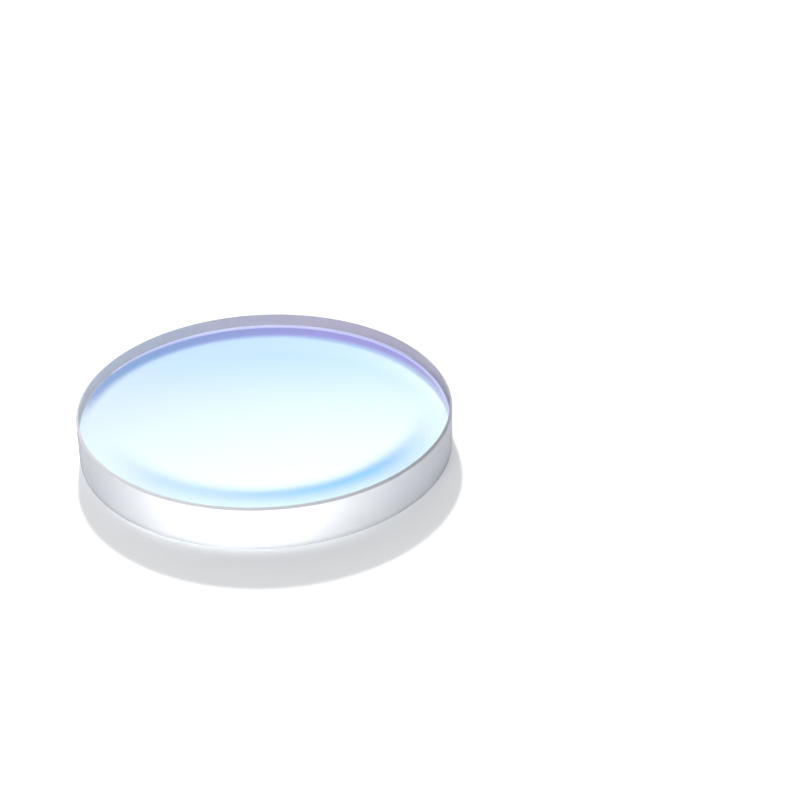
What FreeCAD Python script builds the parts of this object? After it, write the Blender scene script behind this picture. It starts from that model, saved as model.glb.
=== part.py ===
import FreeCAD, Part

# A round laser protective window: one plane-parallel disc of sapphire.
# It is cored from a plate, its edge is ground to diameter, its two faces are
# polished flat and parallel, and a small protective bevel breaks both rims.
#
# Frame: the disc lies flat on its seat face. The origin is the centre of that
# face, +Z runs up the optical axis, and lengths are in millimetres.

import os

import Sketcher

document = FreeCAD.newDocument("laser_window")


# Driving dimensions

sizes = document.addObject("Spreadsheet::Sheet", "sizes")
sizes.Label = "sizes"

DRIVING_SIZES = [
    # alias, value in millimetres, what it measures
    ("diameter", 50.8, "outside diameter of the ground edge"),
    ("thickness", 6.35, "distance between the two polished faces"),
    ("bevel", 0.3, "leg of the 45 degree protective bevel on both rims"),
]

for row, (alias, value, meaning) in enumerate(DRIVING_SIZES, start=1):
    sizes.set(f"A{row}", meaning)
    sizes.set(f"B{row}", str(value))
    sizes.setAlias(f"B{row}", alias)
document.recompute()


def origin_plane(body, role):
    """The plane of the body's own origin that has this role."""
    for feature in body.Origin.OriginFeatures:
        if feature.Role == role:
            return feature
    raise ValueError(f"{body.Label} has no origin plane {role}")


def rim_names(shape, level):
    """Names of the round edges of the shape that lie flat at this height."""
    names = []
    for number, edge in enumerate(shape.Edges, start=1):
        box = edge.BoundBox
        if edge.isClosed() and abs(box.ZMin - level) < 1e-6 and box.ZLength < 1e-6:
            names.append(f"Edge{number}")
    return names


def make_window():
    """The glass blank, raised from its seat face, with both rims bevelled."""
    body = document.addObject("PartDesign::Body", "window")
    body.Label = "window"

    outline = body.newObject("Sketcher::SketchObject", "edge_outline")
    outline.AttachmentSupport = [(origin_plane(body, "XY_Plane"), "")]
    outline.MapMode = "FlatFace"
    circle = outline.addGeometry(
        Part.Circle(FreeCAD.Vector(), FreeCAD.Vector(0, 0, 1), sizes.diameter / 2)
    )
    outline.addConstraint(Sketcher.Constraint("Coincident", circle, 3, -1, 1))
    across = outline.addConstraint(
        Sketcher.Constraint("Diameter", circle, sizes.diameter)
    )
    outline.renameConstraint(across, "across")
    outline.setExpression("Constraints.across", "sizes.diameter")

    blank = body.newObject("PartDesign::Pad", "blank")
    blank.Profile = outline
    blank.setExpression("Length", "sizes.thickness")
    document.recompute()

    seat_rim = rim_names(blank.Shape, 0.0)
    front_rim = rim_names(blank.Shape, sizes.thickness)
    if len(seat_rim) != 1 or len(front_rim) != 1:
        raise ValueError("the blank should have one rim on each face")

    bevels = body.newObject("PartDesign::Chamfer", "protective_bevels")
    bevels.Base = (blank, seat_rim + front_rim)
    bevels.setExpression("Size", "sizes.bevel")
    body.Tip = bevels
    return body


pieces = [make_window()]
document.recompute()


# Every feature has to be sound before anything is written.

for feature in document.Objects:
    if "Invalid" in feature.State or "Error" in feature.State:
        raise RuntimeError(f"{feature.Label} failed: {feature.State}")

os.makedirs("parts", exist_ok=True)
for piece in pieces:
    shape = piece.Shape
    if shape.isNull() or not shape.isValid() or len(shape.Solids) != 1:
        raise RuntimeError(f"{piece.Label} is not one sound solid")
    box = shape.BoundBox
    print(
        f"{piece.Label}: {box.XLength:.3f} x {box.YLength:.3f} x {box.ZLength:.3f} mm,"
        f" {shape.Volume:.1f} mm3, {len(shape.Faces)} faces"
    )
    shape.exportStep(f"parts/{piece.Label}.step")
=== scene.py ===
# %% [markdown]
# A laser protective window is a flat, round disc of sapphire that shields the
# lens of a laser head from spatter. Both faces are polished and carry a thin
# coating, the edge is ground matt, and both rims have a small bevel. The
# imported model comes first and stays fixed. Everything else is made around it,
# in metres, with the disc lying on the floor at height zero.

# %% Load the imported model
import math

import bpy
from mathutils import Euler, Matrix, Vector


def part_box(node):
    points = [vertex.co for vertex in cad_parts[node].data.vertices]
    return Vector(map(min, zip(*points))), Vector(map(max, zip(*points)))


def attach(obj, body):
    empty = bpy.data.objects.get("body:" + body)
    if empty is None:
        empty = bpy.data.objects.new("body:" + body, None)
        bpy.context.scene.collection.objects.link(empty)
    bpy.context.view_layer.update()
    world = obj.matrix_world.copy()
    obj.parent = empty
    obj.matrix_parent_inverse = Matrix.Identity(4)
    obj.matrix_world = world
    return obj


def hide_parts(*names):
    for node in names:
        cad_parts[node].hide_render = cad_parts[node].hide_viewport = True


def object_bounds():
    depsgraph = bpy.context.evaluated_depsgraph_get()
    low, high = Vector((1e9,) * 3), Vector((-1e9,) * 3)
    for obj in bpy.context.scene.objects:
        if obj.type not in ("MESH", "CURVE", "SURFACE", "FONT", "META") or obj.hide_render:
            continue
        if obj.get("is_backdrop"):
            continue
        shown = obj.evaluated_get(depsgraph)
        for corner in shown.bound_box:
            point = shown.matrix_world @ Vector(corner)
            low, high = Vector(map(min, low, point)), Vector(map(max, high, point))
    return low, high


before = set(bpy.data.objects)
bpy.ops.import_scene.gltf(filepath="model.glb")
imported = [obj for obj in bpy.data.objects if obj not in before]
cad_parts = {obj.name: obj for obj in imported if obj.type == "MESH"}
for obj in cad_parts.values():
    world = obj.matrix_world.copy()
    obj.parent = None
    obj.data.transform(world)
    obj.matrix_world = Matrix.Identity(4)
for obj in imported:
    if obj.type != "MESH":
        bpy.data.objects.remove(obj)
cad_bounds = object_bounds()

# %% [markdown]
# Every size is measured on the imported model, so the disc that is drawn can't
# drift from the one that was made. The bevel is read off the upper face: it
# ends where the bevel begins, which is a little short of the full radius.

MM = 0.001
NODE = "window"
TOUCHING = 0.001 * MM

low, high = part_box(NODE)
radius = (high.x - low.x) / 2
thickness = high.z - low.z


def measured_bevel():
    """How far the flat upper face ends inside the ground edge."""
    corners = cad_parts[NODE].data.vertices
    on_face = [v.co for v in corners if high.z - v.co.z < TOUCHING]
    return radius - max(math.hypot(place.x, place.y) for place in on_face)


bevel = measured_bevel()
print(f"disc: {2 * radius / MM:.2f} mm across, {thickness / MM:.2f} mm thick")
print(f"bevel: {bevel / MM:.2f} mm")

# %% [markdown]
# Glass has no look of its own. It shows what lies behind it and mirrors what
# lies around it, and both depend on where it is seen from, so the camera
# comes before the materials. Its place was worked out from how the round rims
# look oval: their width against their height gives the angle, and the way
# they widen towards the viewer gives the distance.

# %% Place the camera
scene = bpy.context.scene
scene.view_settings.view_transform = "Standard"

LENS = 90.0
CAMERA_PLACE = Vector((18.33, -231.98, 146.70)) * MM
CAMERA_AIM = Vector((18.33, 11.03, 0.0)) * MM
CAMERA_ROLL = math.radians(-0.59)


def make_camera():
    """A camera that looks down at the disc from the front and a little right."""
    data = bpy.data.cameras.new("photo_camera")
    data.lens = LENS
    camera = bpy.data.objects.new("photo_camera", data)
    camera.location = CAMERA_PLACE
    look = (CAMERA_AIM - CAMERA_PLACE).to_track_quat("-Z", "Y")
    roll = Euler((0, 0, CAMERA_ROLL)).to_quaternion()
    camera.rotation_mode = "QUATERNION"
    camera.rotation_quaternion = look @ roll
    scene.collection.objects.link(camera)
    return camera


scene.camera = make_camera()
gaze = CAMERA_AIM - CAMERA_PLACE
slope = math.degrees(math.atan2(-gaze.z, math.hypot(gaze.x, gaze.y)))
print(f"camera: {LENS:.0f} mm lens, looking down {slope:.1f} degrees")

# %% [markdown]
# Materials and shapes are both made of nodes here, and most steps are the
# same few: add a node and fill its inputs with numbers or links, do a piece
# of arithmetic, fade from one value to another, mix two colours. Each of
# them gets a helper, so that the code after this reads as a list of what
# happens and not of what is wired to what.

# %% Helpers for nodes


def set_or_link(tree, socket, value):
    """Fills a socket with a plain value, or links another node's output to it."""
    if isinstance(value, bpy.types.NodeSocket):
        tree.links.new(value, socket)
    else:
        socket.default_value = value


def add_node(tree, kind, inputs=None, **settings):
    """Adds a node, sets its settings, and fills or links its inputs."""
    node = tree.nodes.new(kind)
    for name, value in settings.items():
        setattr(node, name, value)
    for name, value in (inputs or {}).items():
        set_or_link(tree, node.inputs[name], value)
    return node


def math_step(tree, operation, *values, clamp=False):
    """One step of arithmetic on numbers or sockets. Gives the result's socket."""
    node = add_node(tree, "ShaderNodeMath", operation=operation, use_clamp=clamp)
    for number, value in enumerate(values):
        set_or_link(tree, node.inputs[number], value)
    return node.outputs[0]


def joined(tree, operation, first, *others):
    """Adds up or multiplies several values. Gives the result's socket."""
    for other in others:
        first = math_step(tree, operation, first, other)
    return first


def soft_step(tree, value, start, end, low=0.0, high=1.0):
    """Eases from low to high while the value goes from start to end."""
    step = add_node(
        tree,
        "ShaderNodeMapRange",
        {"Value": value, "From Min": start, "From Max": end, "To Min": low, "To Max": high},
        interpolation_type="SMOOTHSTEP",
    )
    return step.outputs["Result"]


def tinted(tree, share, first, second):
    """Mixes two colours by a share. Gives the result's socket."""
    node = add_node(tree, "ShaderNodeMix", data_type="RGBA")
    in_use = {socket.name: socket for socket in node.inputs if socket.enabled}
    for name, value in (("Factor", share), ("A", first), ("B", second)):
        set_or_link(tree, in_use[name], value)
    return next(socket for socket in node.outputs if socket.enabled)


print("node helpers ready")

# %% [markdown]
# A node group keeps an effect in one place, with named inputs for what
# differs from one use to the next. Most marks on the disc are placed by how
# far they lie from its axis and at what angle from its front, so these come
# from a helper too. They are read from Object coordinates, which stay with
# the disc however it is turned.

# %% Helpers for groups and places


def new_group(kind, name, inputs, outputs):
    """An empty node group. Gives it, what goes in, and what comes out."""
    group = bpy.data.node_groups.new(name, kind)
    for way, sockets in (("INPUT", inputs), ("OUTPUT", outputs)):
        for label, socket_kind in sockets.items():
            group.interface.new_socket(label, in_out=way, socket_type=f"NodeSocket{socket_kind}")
    given = group.nodes.new("NodeGroupInput").outputs
    result = group.nodes.new("NodeGroupOutput").inputs
    return group, given, result


def object_place(tree):
    """X, Y and Z of the point that is shaded."""
    place = add_node(tree, "ShaderNodeTexCoord").outputs["Object"]
    return add_node(tree, "ShaderNodeSeparateXYZ", {"Vector": place}).outputs


def round_place(tree, place):
    """The place seen from above, its distance from the axis, and its angle."""
    flat = add_node(tree, "ShaderNodeCombineXYZ", {"X": place["X"], "Y": place["Y"]}).outputs[0]
    distance = add_node(tree, "ShaderNodeVectorMath", {0: flat}, operation="LENGTH")
    forward = math_step(tree, "MULTIPLY", place["Y"], -1.0)
    angle = math_step(tree, "ARCTAN2", place["X"], forward)
    return flat, distance.outputs["Value"], angle


print("group helpers ready")

# %% [markdown]
# The real coating is a stack of films, each thinner than a wavelength, laid
# down in a vacuum while the disc sits in a holder. It takes away most of one
# laser colour and leaves a faint blue cast. The cast is painted a little
# deeper towards the back, and that part is painted shade. Along the back rim
# a crescent is a deep violet-blue, more violet to the right: it is a painted
# shadow, the one the far edge throws on the table under the glass. A thin lip
# outside the crescent on the lower face stays lighter, as painted light.
# Round the front a soft blue ring runs a few millimetres inside the rim. A
# picture could hold these marks, but then they would blur close up. Here they
# are worked out from the distance to the disc's axis and the angle, so they
# stay smooth and can be moved by a number. Both faces have the same coating,
# so it is one node group, placed in two materials.

# %% The coating's cast and ring, with painted light and shade
# The cast is painted darker and bluer towards the back: painted shade.
BACK_SHADE_SPAN = (-2 * MM, 18 * MM)

# The crescent along the back rim is a painted shadow of the far edge.
CRESCENT_RADIUS = radius - bevel
CRESCENT_SOFT = 0.9 * MM
CRESCENT_SIDES = (math.radians(84), math.radians(106))
CRESCENT_LEFT_TO_RIGHT = (-20 * MM, 12 * MM)

# The lip is painted light: a lighter border outside the painted shadow.
PAINTED_LIP_LIGHT = (0.55, 0.44, 0.90, 1)
LIP_EDGE = (radius - 0.9 * MM, radius - 0.4 * MM)
LIP_LEFT_TO_RIGHT = (-24 * MM, 0.0)

RING_RADIUS = radius - 3.2 * MM
RING_INSIDE = 2.6 * MM
RING_OUTSIDE = 3.4 * MM
RING_AT_RIM = 0.55
RING_BEGINS = (math.radians(-70), math.radians(-30))
RING_GROWS = (math.radians(-50), math.radians(30))
RING_WEAK = 0.7
RING_ENDS = (math.radians(40), math.radians(95))


def crescent_share(group, flat, shift):
    """How much of the painted shadow: all of it outside a circle that is shifted."""
    away = add_node(group, "ShaderNodeVectorMath", {0: flat, 1: shift}, operation="DISTANCE")
    start = CRESCENT_RADIUS - CRESCENT_SOFT
    end = CRESCENT_RADIUS + CRESCENT_SOFT
    return soft_step(group, away.outputs["Value"], start, end)


def ring_share(group, distance, angle):
    """How much of the ring: a soft band that fades in and out round the front."""
    rise = soft_step(group, distance, RING_RADIUS - RING_INSIDE, RING_RADIUS)
    fall = soft_step(
        group, distance, RING_RADIUS, RING_RADIUS + RING_OUTSIDE, 1.0, RING_AT_RIM
    )
    begins = soft_step(group, angle, *RING_BEGINS)
    grows = soft_step(group, angle, *RING_GROWS, RING_WEAK, 1.0)
    ends = soft_step(group, angle, *RING_ENDS, 1.0, 0.0)
    return joined(group, "MULTIPLY", rise, fall, begins, grows, ends)


def lip_share(group, distance, across):
    """How much of the lip, painted light: a thin border that fades out to the left."""
    outside = soft_step(group, distance, *LIP_EDGE)
    rightward = soft_step(group, across, *LIP_LEFT_TO_RIGHT)
    return math_step(group, "MULTIPLY", outside, rightward)


print(f"ring {(radius - RING_RADIUS) / MM:.1f} mm inside the rim")

# %% [markdown]
# The group starts with the cast and lays one mark after another over it,
# each as a second tint with its own share. The order matters: the painted
# shadow of the crescent covers the ring, and the painted light of the lip
# covers the crescent. The group puts out only a colour, so one shader serves
# both faces.

# %% The coating with its painted light and shade, as a node group


def make_coating_and_shade_group():
    """Coating colour with painted light and shade, from the place on the disc."""
    group, given, result = new_group(
        "ShaderNodeTree",
        "coating_and_painted_shade",
        {
            "Front Tint": "Color",
            "Back Tint": "Color",
            "Crescent Tint Left": "Color",
            "Crescent Tint Right": "Color",
            "Crescent Shift": "Vector",
            "Ring Tint": "Color",
            "Ring Strength": "Float",
            "Lip Strength": "Float",
        },
        {"Tint": "Color"},
    )
    place = object_place(group)
    flat, distance, angle = round_place(group, place)
    off_front = math_step(group, "ABSOLUTE", angle)
    at_back = soft_step(group, off_front, *CRESCENT_SIDES)

    # Painted shade: the cast is darker towards the back.
    back_shade = soft_step(group, place["Y"], *BACK_SHADE_SPAN)
    tint = tinted(group, back_shade, given["Front Tint"], given["Back Tint"])

    ring = ring_share(group, distance, angle)
    ring = math_step(group, "MULTIPLY", ring, given["Ring Strength"])
    tint = tinted(group, ring, tint, given["Ring Tint"])

    # The crescent is a painted shadow along the back rim.
    crescent = crescent_share(group, flat, given["Crescent Shift"])
    crescent = math_step(group, "MULTIPLY", crescent, at_back)
    across = soft_step(group, place["X"], *CRESCENT_LEFT_TO_RIGHT)
    deep = tinted(group, across, given["Crescent Tint Left"], given["Crescent Tint Right"])
    tint = tinted(group, crescent, tint, deep)

    # The lip is painted light on the lower face.
    lip = lip_share(group, distance, place["X"])
    lip = joined(group, "MULTIPLY", lip, at_back, given["Lip Strength"])
    tint = tinted(group, lip, tint, PAINTED_LIP_LIGHT)
    group.links.new(tint, result["Tint"])
    return group


coating_and_shade_group = make_coating_and_shade_group()
print(f"coating group: {len(coating_and_shade_group.nodes)} nodes")

# %% [markdown]
# All the surfaces are one crystal, so every material starts from the same
# glass shader. Sapphire bends light more than window glass does, with an
# index of 1.77, and that is why the far edge seems to lie so close under the
# upper face. The number is the same everywhere, so it sits on the shader's
# own socket. The light passes both faces, and each takes its share of the
# colour. The crescent of painted shadow is darker on the lower face, and it
# lies a little differently on each, so it has a soft border with some depth
# to it.

# %% Materials of the faces
SAPPHIRE_INDEX = 1.77
COATING_AND_SHADE_TINTS = {
    "Front Tint": (0.44, 0.53, 0.62, 1),
    "Back Tint": (0.36, 0.51, 0.68, 1),
    "Ring Tint": (0.01, 0.12, 0.29, 1),
}
# On both faces the crescent is a painted shadow: light lavender above, deep violet-blue below.
FRONT_MARKS = {
    "Crescent Tint Left": (0.78, 0.84, 1.0, 1),
    "Crescent Tint Right": (0.98, 0.88, 1.0, 1),
    "Crescent Shift": Vector((0.35, -3.4, 0.0)) * MM,
    "Ring Strength": 1.0,
    "Lip Strength": 0.0,
}
SEAT_MARKS = {
    "Crescent Tint Left": (0.018, 0.094, 0.34, 1),
    "Crescent Tint Right": (0.17, 0.10, 0.48, 1),
    "Crescent Shift": Vector((0.35, -2.9, 0.0)) * MM,
    "Ring Strength": 0.0,
    "Lip Strength": 1.0,
}


def new_glass(name):
    """A clear sapphire material. Gives the material, its tree and its shader."""
    material = bpy.data.materials.new(name)
    material.use_nodes = True
    tree = material.node_tree
    shader = tree.nodes["Principled BSDF"]
    shader.inputs["IOR"].default_value = SAPPHIRE_INDEX
    shader.inputs["Transmission Weight"].default_value = 1.0
    return material, tree, shader


def make_face_with_coating_and_shade(name, marks):
    """A polished face with its coating, its ring, and painted light and shade."""
    material, tree, shader = new_glass(name)
    inputs = {**COATING_AND_SHADE_TINTS, **marks}
    coat = add_node(tree, "ShaderNodeGroup", node_tree=coating_and_shade_group)
    for label, value in inputs.items():
        coat.inputs[label].default_value = value
    shader.inputs["Roughness"].default_value = 0.0
    tree.links.new(coat.outputs["Tint"], shader.inputs["Base Color"])
    return material


front_face = make_face_with_coating_and_shade("front_face_coating_and_shade", FRONT_MARKS)
seat_face = make_face_with_coating_and_shade("seat_face_coating_and_shade", SEAT_MARKS)
print(f"faces: sapphire index {SAPPHIRE_INDEX}")

# %% [markdown]
# The edge is cut with a diamond wheel, which leaves sapphire frosted like
# ground glass: fine pits scatter the light, so the edge glows instead of
# showing what is behind it. Modelling the pits as shape would take millions
# of faces. A fine noise that drives the roughness, the tint and a small bump
# gives the same scatter. The edge and the bevels are ground with different
# wheels, so they share one group and get their own grain size.

# %% The ground grain, as a node group
SEED = 7.0
GRAIN_LAYERS = 3.0
GRAIN_CONTRAST = 0.6
PIT_SPAN = (0.3, 0.7)
PIT_TINT = (0.55, 0.58, 0.62, 1)


def make_grain_group():
    """Fine pits of a ground surface: a tint, a roughness and a height."""
    group, given, result = new_group(
        "ShaderNodeTree",
        "ground_grain",
        {
            "Tint": "Color",
            "Grains Per Metre": "Float",
            "Roughness Low": "Float",
            "Roughness High": "Float",
            "Tint Change": "Float",
        },
        {"Colour": "Color", "Roughness": "Float", "Height": "Float"},
    )
    noise = {
        "Vector": add_node(group, "ShaderNodeTexCoord").outputs["Object"],
        "W": SEED,
        "Scale": given["Grains Per Metre"],
        "Detail": GRAIN_LAYERS,
        "Roughness": GRAIN_CONTRAST,
    }
    pits = add_node(group, "ShaderNodeTexNoise", noise, noise_dimensions="4D").outputs["Fac"]
    share = soft_step(group, pits, *PIT_SPAN)
    spread = {"Value": share, "To Min": given["Roughness Low"], "To Max": given["Roughness High"]}
    rough = add_node(group, "ShaderNodeMapRange", spread).outputs["Result"]
    darker = math_step(group, "MULTIPLY", share, given["Tint Change"])
    colour = tinted(group, darker, given["Tint"], PIT_TINT)
    group.links.new(colour, result["Colour"])
    group.links.new(rough, result["Roughness"])
    group.links.new(pits, result["Height"])
    return group


grain_group = make_grain_group()
print(f"grain group: {len(grain_group.nodes)} nodes")

# %% [markdown]
# Three surfaces are ground. The edge lets most of the light through. The
# upper bevel is duller, so it shows as a thin grey line round the face. On
# its back half, under the painted shadow, the lower bevel is painted
# violet-blue as painted shade, so it shows as a light line under the far
# edge. At the front the foot of the edge is painted a little greyer, as
# painted shade, and melts into the shadow. Both of these are a second tint
# that is laid over the ground one.

# %% Materials of the ground edge and bevels
EDGE_TINT = (0.97, 0.98, 1.0, 1)
EDGE_CLEARNESS = 0.9
EDGE_WHEEL = {
    "Grains Per Metre": 6000,
    "Roughness Low": 0.5,
    "Roughness High": 0.6,
    "Tint Change": 0.05,
}
UPPER_BEVEL_TINT = (0.74, 0.75, 0.79, 1)
UPPER_BEVEL_CLEARNESS = 0.3
LOWER_BEVEL_TINT = (0.88, 0.88, 0.88, 1)
LOWER_BEVEL_CLEARNESS = 0.5
BEVEL_WHEEL = {
    "Grains Per Metre": 9000,
    "Roughness Low": 0.42,
    "Roughness High": 0.58,
    "Tint Change": 0.08,
}
PIT_DEPTH = 0.01 * MM
PIT_STRENGTH = 0.1
FRONT_TO_BACK = (-6 * MM, 6 * MM)
# The greyer foot of the edge on its front half is painted shade.
FOOT_HEIGHT = (0.2 * MM, 1.2 * MM)
FOOT_SHADE_TINT = (0.60, 0.61, 0.63, 1)
# The violet-blue on the back half of the lower bevel is painted shade.
BEVEL_BACK_SHADE_TINT = (0.60, 0.62, 0.95, 1)


def make_ground(name, tint, clearness, wheel):
    """Frosted sapphire, ground with this wheel."""
    material, tree, shader = new_glass(name)
    shader.inputs["Transmission Weight"].default_value = clearness
    grain = add_node(tree, "ShaderNodeGroup", node_tree=grain_group)
    for label, value in {"Tint": tint, **wheel}.items():
        grain.inputs[label].default_value = value
    tree.links.new(grain.outputs["Colour"], shader.inputs["Base Color"])
    tree.links.new(grain.outputs["Roughness"], shader.inputs["Roughness"])
    pits = {"Strength": PIT_STRENGTH, "Distance": PIT_DEPTH, "Height": grain.outputs["Height"]}
    bump = add_node(tree, "ShaderNodeBump", pits)
    tree.links.new(bump.outputs["Normal"], shader.inputs["Normal"])
    return material


def lay_over(material, share, tint):
    """Lays a second tint over the ground one, as strong as the share."""
    tree = material.node_tree
    base = tree.nodes["Principled BSDF"].inputs["Base Color"]
    ground = base.links[0].from_socket
    tree.links.new(tinted(tree, share, ground, tint), base)


def make_edge():
    """The ground edge, with painted shade at the foot of its front half."""
    material = make_ground("ground_edge", EDGE_TINT, EDGE_CLEARNESS, EDGE_WHEEL)
    tree = material.node_tree
    place = object_place(tree)
    # Painted shade: the foot of the front half is greyer.
    foot = soft_step(tree, place["Z"], *FOOT_HEIGHT, 1.0, 0.0)
    front = soft_step(tree, place["Y"], *FRONT_TO_BACK, 1.0, 0.0)
    lay_over(material, math_step(tree, "MULTIPLY", foot, front), FOOT_SHADE_TINT)
    return material


def make_lower_bevel():
    """The lower bevel, with painted violet-blue shade on its back half."""
    material = make_ground(
        "lower_bevel_painted_shade", LOWER_BEVEL_TINT, LOWER_BEVEL_CLEARNESS, BEVEL_WHEEL
    )
    tree = material.node_tree
    # Painted shade: violet-blue on the back half.
    back = soft_step(tree, object_place(tree)["Y"], *FRONT_TO_BACK)
    lay_over(material, back, BEVEL_BACK_SHADE_TINT)
    return material


ground_edge = make_edge()
upper_bevel = make_ground(
    "ground_bevel", UPPER_BEVEL_TINT, UPPER_BEVEL_CLEARNESS, BEVEL_WHEEL
)
lower_bevel = make_lower_bevel()
print("ground:", ground_edge.name, upper_bevel.name, lower_bevel.name)

# %% [markdown]
# The disc follows the rule of its making, so Geometry Nodes build it the way
# a glass shop does: a round blank, raised to full height, with both rims cut
# back at 45 degrees. It could also be a profile that is spun, but raising a
# circle in three steps needs no profile, and its sizes stay plain inputs.
# The lower face is the same circle turned over, so that it faces down, and
# the two are merged along the rim. The mesh is smooth round the edge and
# stays sharp where two surfaces meet.

# %% The steps that raise the disc


def raised(tree, mesh, top, height):
    """Lifts the top face and leaves a wall behind it. Gives mesh and top."""
    lift = add_node(tree, "ShaderNodeCombineXYZ", {"Z": height}).outputs[0]
    inputs = {"Mesh": mesh, "Offset": lift, "Individual": False}
    if top is not None:
        inputs["Selection"] = top
    step = add_node(tree, "GeometryNodeExtrudeMesh", inputs)
    return step.outputs["Mesh"], step.outputs["Top"]


def scaled(tree, mesh, top, factor):
    """Widens or narrows the top face about the disc's axis."""
    inputs = {"Geometry": mesh, "Selection": top, "Scale": factor}
    return add_node(tree, "GeometryNodeScaleElements", inputs).outputs["Geometry"]


def closed_disc(tree, given):
    """The closed disc, from its lower face up to its upper one."""
    flat_radius = math_step(tree, "SUBTRACT", given["Radius"], given["Bevel"])
    grow = math_step(tree, "DIVIDE", given["Radius"], flat_radius)
    shrink = math_step(tree, "DIVIDE", flat_radius, given["Radius"])
    two_bevels = math_step(tree, "MULTIPLY", given["Bevel"], 2.0)
    edge_height = math_step(tree, "SUBTRACT", given["Thickness"], two_bevels)

    circle = {"Vertices": given["Segments"], "Radius": flat_radius}
    seat = add_node(tree, "GeometryNodeMeshCircle", circle, fill_type="NGON").outputs["Mesh"]
    mesh, top = raised(tree, seat, None, given["Bevel"])
    mesh = scaled(tree, mesh, top, grow)
    mesh, top = raised(tree, mesh, top, edge_height)
    mesh, top = raised(tree, mesh, top, given["Bevel"])
    mesh = scaled(tree, mesh, top, shrink)

    turned_over = add_node(tree, "GeometryNodeFlipFaces", {"Mesh": seat}).outputs["Mesh"]
    join = add_node(tree, "GeometryNodeJoinGeometry", {"Geometry": turned_over})
    tree.links.new(mesh, join.inputs["Geometry"])
    merge = {"Geometry": join.outputs["Geometry"], "Distance": TOUCHING}
    return add_node(tree, "GeometryNodeMergeByDistance", merge).outputs["Geometry"]


print("disc: raised in three steps")

# %% [markdown]
# What a surface is can be told from the way it faces: the two faces look
# straight up and down, the edge looks sideways, and the bevels slant. So
# each material is set by a test on the normal's height, and no face has to
# be counted.

# %% The node tree of the disc
SEGMENTS = 384
SHARP_ANGLE = math.radians(20)
FLAT = 0.9
SLANTING = 0.1


def shaded(tree, geometry):
    """Smooth faces, with sharp borders where the surface turns a corner."""
    smooth = add_node(
        tree,
        "GeometryNodeSetShadeSmooth",
        {"Geometry": geometry, "Shade Smooth": True},
        domain="FACE",
    )
    turn = add_node(tree, "GeometryNodeInputMeshEdgeAngle").outputs["Unsigned Angle"]
    corner = math_step(tree, "GREATER_THAN", turn, SHARP_ANGLE)
    crisp = add_node(
        tree,
        "GeometryNodeSetShadeSmooth",
        {"Geometry": smooth.outputs["Geometry"], "Selection": corner, "Shade Smooth": False},
        domain="EDGE",
    )
    return crisp.outputs["Geometry"]


def painted(tree, geometry):
    """Sets the material of each surface by the way it faces."""
    normal = add_node(tree, "GeometryNodeInputNormal").outputs[0]
    up = add_node(tree, "ShaderNodeSeparateXYZ", {"Vector": normal}).outputs["Z"]
    steep = math_step(tree, "ABSOLUTE", up)
    for material, chosen in (
        (upper_bevel, True),
        (lower_bevel, math_step(tree, "LESS_THAN", up, -SLANTING)),
        (ground_edge, math_step(tree, "LESS_THAN", steep, SLANTING)),
        (front_face, math_step(tree, "GREATER_THAN", up, FLAT)),
        (seat_face, math_step(tree, "LESS_THAN", up, -FLAT)),
    ):
        paint = {"Geometry": geometry, "Selection": chosen, "Material": material}
        geometry = add_node(tree, "GeometryNodeSetMaterial", paint).outputs["Geometry"]
    return geometry


def make_disc_tree():
    """Builds the disc from its radius, thickness, bevel and segments."""
    sizes = {"Radius": "Float", "Thickness": "Float", "Bevel": "Float", "Segments": "Int"}
    tree, given, result = new_group(
        "GeometryNodeTree", "ground_disc", sizes, {"Geometry": "Geometry"}
    )
    disc = shaded(tree, closed_disc(tree, given))
    real = add_node(tree, "GeometryNodeRealizeInstances", {"Geometry": disc})
    tree.links.new(painted(tree, real.outputs["Geometry"]), result["Geometry"])
    return tree


disc_tree = make_disc_tree()
print(f"disc tree: {len(disc_tree.nodes)} nodes")

# %% [markdown]
# A modifier on an empty holder runs the tree. Its inputs are known by their
# identifiers, which don't change when a label does. The result is copied as
# a plain mesh and the holder goes, so what stays is an ordinary piece. Its
# volume shows that it is closed and that its faces point outwards.

# %% Make the disc
import bmesh


def socket_key(tree, name):
    """The identifier that a modifier knows an input by."""
    for item in tree.interface.items_tree:
        if item.name == name and item.in_out == "INPUT":
            return item.identifier
    raise KeyError(name)


def make_disc():
    """The disc as a plain mesh, with its faces pointing outwards."""
    holder = bpy.data.objects.new("holder", bpy.data.meshes.new("holder"))
    scene.collection.objects.link(holder)
    maker = holder.modifiers.new("maker", "NODES")
    maker.node_group = disc_tree
    for name, value in (
        ("Radius", radius),
        ("Thickness", thickness),
        ("Bevel", bevel),
        ("Segments", SEGMENTS),
    ):
        maker[socket_key(disc_tree, name)] = value
    ready = holder.evaluated_get(bpy.context.evaluated_depsgraph_get())
    mesh = bpy.data.meshes.new_from_object(ready)
    mesh.name = "window_glass"
    bpy.data.objects.remove(holder)
    disc = bpy.data.objects.new("window_glass", mesh)
    scene.collection.objects.link(disc)
    return disc


def drop_empty_slots(mesh):
    """Removes material slots that hold nothing."""
    for slot in reversed(range(len(mesh.materials))):
        if mesh.materials[slot] is None:
            mesh.materials.pop(index=slot)


def volume_of(mesh):
    """Volume inside the mesh, which is negative if its faces point inwards."""
    shell = bmesh.new()
    shell.from_mesh(mesh)
    amount = shell.calc_volume(signed=True)
    shell.free()
    return amount


glass = make_disc()
drop_empty_slots(glass.data)
print(f"disc: {len(glass.data.polygons)} faces, {volume_of(glass.data) / MM**3:.0f} mm3")
print("slots:", [material.name for material in glass.data.materials])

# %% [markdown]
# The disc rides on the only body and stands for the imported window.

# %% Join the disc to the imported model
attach(glass, "root")
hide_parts(NODE)
print(f"{glass.name} stands for {NODE}")

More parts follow.
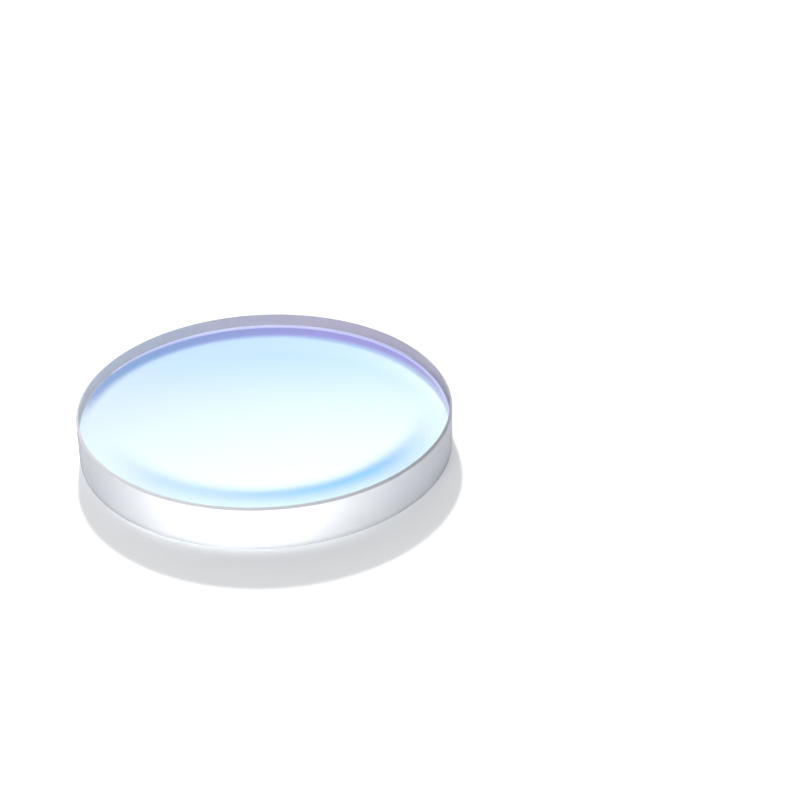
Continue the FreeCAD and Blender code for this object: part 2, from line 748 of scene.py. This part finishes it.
# %% [markdown]
# The disc lies on a plain white table. The table is matt, so it takes the
# soft shadow of the edge. A little light of its own, seen only by the camera
# and through or off the glass, lifts the table to clean white. Far from the
# disc, where the lamps are weaker, the camera sees a little more of it. The
# real edge also throws a narrow glow on the table at its foot, where light
# leaves the glass. The renderer doesn't carry light through glass onto a
# table in reasonable time, so the glow is worked out from the distance to
# the edge.

# %% How the table is lifted to white
TABLE_LIFT = 0.33
TABLE_LIFT_IN_GLASS = 0.85
FAR_AWAY = (0.12, 0.7)
FAR_LIFT = 0.45
GLOW = 0.11
GLOW_REACH = 1.8 * MM
GLOW_TURN = math.radians(5)
GLOW_SIDES = (math.radians(20), math.radians(50))


def edge_glow(tree, distance, angle):
    """The glow beside the foot of the disc, which fades out to both sides."""
    swing = math_step(tree, "ADD", angle, GLOW_TURN)
    swing = math_step(tree, "ABSOLUTE", swing)
    near = soft_step(tree, distance, radius, radius + GLOW_REACH, GLOW, 0.0)
    beside = math_step(tree, "GREATER_THAN", distance, radius - bevel)
    ahead = soft_step(tree, swing, *GLOW_SIDES, 1.0, 0.0)
    return joined(tree, "MULTIPLY", near, beside, ahead)


def table_lift(tree):
    """Strength of the table's own light, for each kind of ray."""
    paths = add_node(tree, "ShaderNodeLightPath").outputs
    camera = paths["Is Camera Ray"]
    seen = math_step(tree, "ADD", camera, paths["Is Glossy Ray"], clamp=True)
    _, distance, angle = round_place(tree, object_place(tree))
    far = soft_step(tree, distance, *FAR_AWAY, 0.0, FAR_LIFT)
    return joined(
        tree,
        "ADD",
        math_step(tree, "MULTIPLY", seen, TABLE_LIFT),
        math_step(tree, "MULTIPLY", paths["Is Transmission Ray"], TABLE_LIFT_IN_GLASS),
        math_step(tree, "MULTIPLY", seen, edge_glow(tree, distance, angle)),
        math_step(tree, "MULTIPLY", camera, far),
    )


print(f"table lift: {TABLE_LIFT}")

# %% [markdown]
# The table itself is a single square, much wider than the picture. It lies a
# hair under the disc, because two surfaces at the same height would show
# through each other in patches.

# %% Make the table
TABLE_HALF = 2.0
TABLE_GAP = 0.03 * MM
TABLE_WHITE = (0.79, 0.80, 0.82, 1)


def make_table_material():
    """Matt white that is lifted to the white of the background."""
    material = bpy.data.materials.new("white_table")
    material.use_nodes = True
    tree = material.node_tree
    tree.nodes.remove(tree.nodes["Principled BSDF"])
    matt = add_node(tree, "ShaderNodeBsdfDiffuse", {"Color": TABLE_WHITE})
    glow = add_node(tree, "ShaderNodeEmission", {"Strength": table_lift(tree)})
    both = add_node(tree, "ShaderNodeAddShader", {0: matt.outputs[0], 1: glow.outputs[0]})
    tree.links.new(both.outputs[0], tree.nodes["Material Output"].inputs["Surface"])
    return material


def make_table():
    """A wide flat sheet, a hair under the disc."""
    reach = TABLE_HALF
    corners = [(-reach, -reach), (reach, -reach), (reach, reach), (-reach, reach)]
    mesh = bpy.data.meshes.new("table")
    mesh.from_pydata([(x, y, -TABLE_GAP) for x, y in corners], [], [(0, 1, 2, 3)])
    mesh.materials.append(make_table_material())
    table = bpy.data.objects.new("table", mesh)
    scene.collection.objects.link(table)
    return table


table = make_table()
table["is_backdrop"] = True
print(f"table: {2 * TABLE_HALF:.0f} m wide")

# %% [markdown]
# A flat window is lit like a mirror: what matters is what it mirrors. A wide
# soft light hangs behind it, and fades towards its lower border, so the far
# part of the face mirrors little and keeps its blue, and the near part
# mirrors the bright middle and turns almost white. A second, brighter one is
# seen only through the glass: it shines through the disc and turns the
# middle of the near edge white, while the ends of the edge stay grey. Lamps
# would show their outline in the face. Light painted on the sky of the world
# fades smoothly, and costs no noise. Matt surfaces get a plainer and dimmer
# sky, and the camera itself sees a white one.

# %% The sky with its soft lights
SOFT_LIGHT = {"turn": 12, "height": 50, "full": 14, "end": 24, "light": 2.2}
BEHIND_LIGHT = {"turn": -8, "height": 53.5, "full": 18, "end": 28, "light": 8.0}
ROOM_LIGHT = 0.4
BEHIND_ROOM = 0.4
PLAIN_LIGHT = 0.25
SOFT_SHARE = 0.6


def direction(turn, height):
    """Unit vector to a point behind the disc, turned to the left and raised."""
    turn = math.radians(turn)
    height = math.radians(height)
    flat = math.cos(height)
    return Vector((-flat * math.sin(turn), flat * math.cos(turn), math.sin(height)))


def soft_patch(tree, way, turn, height, full, end, light):
    """A soft round patch of light on the sky, with its angles in degrees."""
    towards = add_node(
        tree,
        "ShaderNodeVectorMath",
        {0: way, 1: direction(turn, height)},
        operation="DOT_PRODUCT",
    ).outputs["Value"]
    start = math.cos(math.radians(end))
    whole = math.cos(math.radians(full))
    return soft_step(tree, towards, start, whole, 0.0, light)


def sky_strength(tree):
    """Strength of the sky, for each kind of ray."""
    way = add_node(tree, "ShaderNodeTexCoord").outputs["Generated"]
    soft = soft_patch(tree, way, **SOFT_LIGHT)
    behind = soft_patch(tree, way, **BEHIND_LIGHT)
    paths = add_node(tree, "ShaderNodeLightPath").outputs
    strength = math_step(tree, "MULTIPLY_ADD", soft, SOFT_SHARE, PLAIN_LIGHT)
    for path, light in (
        ("Is Glossy Ray", math_step(tree, "ADD", soft, ROOM_LIGHT)),
        ("Is Transmission Ray", math_step(tree, "ADD", behind, BEHIND_ROOM)),
        ("Is Camera Ray", 1.0),
    ):
        choice = {"Factor": paths[path], "A": strength, "B": light}
        strength = add_node(tree, "ShaderNodeMix", choice).outputs["Result"]
    return strength


def make_sky():
    """A dim even room with soft lights behind the disc."""
    world = bpy.data.worlds.new("studio")
    world.use_nodes = True
    tree = world.node_tree
    back = tree.nodes["Background"]
    back.inputs["Color"].default_value = (1, 1, 1, 1)
    tree.links.new(sky_strength(tree), back.inputs["Strength"])
    return world


scene.world = make_sky()
print(f"sky: room {ROOM_LIGHT}, soft light {SOFT_LIGHT['light']}")

# %% [markdown]
# Two lamps finish the light. One stands behind the disc and gives the shadow
# its shape: it falls towards the viewer and ends in a fairly crisp line. The
# other stands low in front, to the left. It hardly reaches the table, but it
# lights the left part of the edge. No glass or gloss mirrors them, because
# the soft lights of the sky are there for that.

# %% The lamps
SHADOW_LAMP = {"turn": 7, "height": 38, "away": 1.0, "width": 0.06, "power": 8.6}
EDGE_LAMP = {"turn": 155, "height": 4, "away": 0.8, "width": 0.12, "power": 7.0}


def make_lamp(name, turn, height, away, width, power):
    """A round lamp, aimed at the disc, that no glass or gloss mirrors."""
    data = bpy.data.lights.new(name, "AREA")
    data.shape = "DISK"
    data.size = width
    data.energy = power
    lamp = bpy.data.objects.new(name, data)
    lamp.location = direction(turn, height) * away
    lamp.rotation_mode = "QUATERNION"
    lamp.rotation_quaternion = (-lamp.location).to_track_quat("-Z", "Y")
    lamp.visible_glossy = False
    lamp.visible_transmission = False
    scene.collection.objects.link(lamp)
    return lamp


make_lamp("shadow_lamp", **SHADOW_LAMP)
make_lamp("edge_lamp", **EDGE_LAMP)
print(f"lamps: {SHADOW_LAMP['power']} W and {EDGE_LAMP['power']} W")

# %% Compare the sizes and finish
visual_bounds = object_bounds()
growth = max(
    abs(new - old)
    for old_corner, new_corner in zip(cad_bounds, visual_bounds)
    for old, new in zip(old_corner, new_corner)
)
print(f"largest change in size: {growth / MM:.3f} mm")
